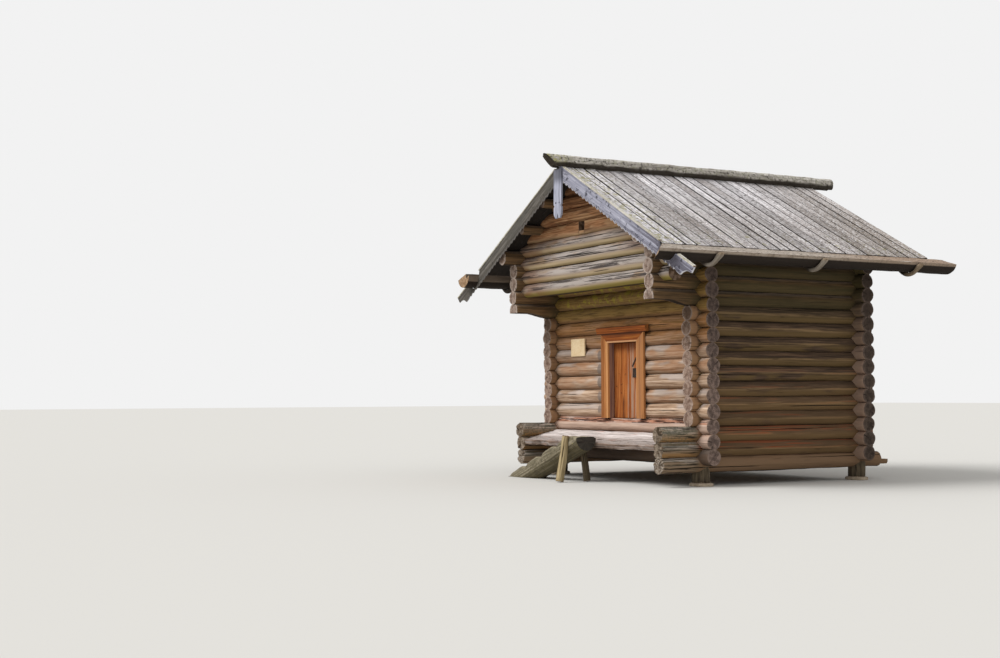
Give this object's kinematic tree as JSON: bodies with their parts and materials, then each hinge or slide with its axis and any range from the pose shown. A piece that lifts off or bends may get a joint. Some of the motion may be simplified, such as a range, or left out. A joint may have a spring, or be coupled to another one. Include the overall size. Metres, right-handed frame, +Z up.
{
  "type": "raised log granary",
  "caption": "Log granary on stumps with an overhanging log gable, plank roof in wooden gutters, sawtooth bargeboards, a low door and a notched log stair.",
  "frame": {"origin": "middle of the footprint's bounding box, on the ground", "axes": "+Z up, the door faces -Y, +X to the right of a person who faces the door"},
  "size_m": [7.48, 6.29, 5.5047],
  "materials": {
    "field_stone": "rough",
    "stump_wood": "weathered",
    "old_iron": "rusted",
    "wall_logs": "weathered",
    "front_logs": "weathered",
    "gable_logs": "weathered",
    "bracket_logs": "weathered",
    "porch_logs": "weathered",
    "deck_planks": "silvered",
    "inner_boards": "matte",
    "stair_wood": "weathered",
    "casing_pine": "matte",
    "post_pine": "matte",
    "door_pine": "matte",
    "notice_board": "matte",
    "roof_timber": "weathered",
    "roof_boards": "silvered",
    "gutter_wood": "weathered",
    "ridge_wood": "lichened",
    "bargeboard_wood": "silvered"
  },
  "bodies": {
    "building": {"stone_front_right": "field_stone", "stone_front_left": "field_stone", "stone_rear_right": "field_stone", "stone_rear_left": "field_stone", "stump_front_right": "stump_wood", "stump_front_left": "stump_wood", "stump_rear_right": "stump_wood", "stump_rear_left": "stump_wood", "right_porch_logs": "porch_logs", "left_porch_logs": "porch_logs", "right_wall": "wall_logs", "left_wall": "wall_logs", "right_bracket_logs": "bracket_logs", "left_bracket_logs": "bracket_logs", "front_wall_under_door": "front_logs", "front_wall_left": "front_logs", "front_wall_right": "front_logs", "front_wall_over_door": "front_logs", "rear_wall": "wall_logs", "rear_gable": "gable_logs", "front_gable": "gable_logs", "floor_boards": "inner_boards", "soffit_boards": "inner_boards", "porch_deck": "deck_planks", "stair_log": "stair_wood", "stair_leg_front": "stair_wood", "stair_leg_rear": "stair_wood", "door_post_left": "post_pine", "door_post_right": "post_pine", "door_lintel": "post_pine", "casing_left": "casing_pine", "casing_right": "casing_pine", "casing_head_board": "casing_pine", "door_cornice": "casing_pine", "notice_plate": "notice_board", "ridge_purlin": "roof_timber", "right_purlins": "roof_timber", "left_purlins": "roof_timber", "right_roof_boards": "roof_boards", "left_roof_boards": "roof_boards", "right_gutter": "gutter_wood", "left_gutter": "gutter_wood", "right_hooks": "roof_timber", "left_hooks": "roof_timber", "ridge_log": "ridge_wood", "right_bargeboard": "bargeboard_wood", "left_bargeboard": "bargeboard_wood", "pendant_board": "bargeboard_wood"},
    "door": {"door_leaf": "door_pine", "door_ledges": "door_pine", "door_pivots": "door_pine", "lock_plate": "old_iron"}
  },
  "joints": [
    {"name": "door_hinge", "type": "hinge", "parent": "building", "child": "door", "pos_m": [-0.2705, -1.5425, 1.045], "axis": [0, 0, 1], "range_deg": [0, 90]}
  ]
}
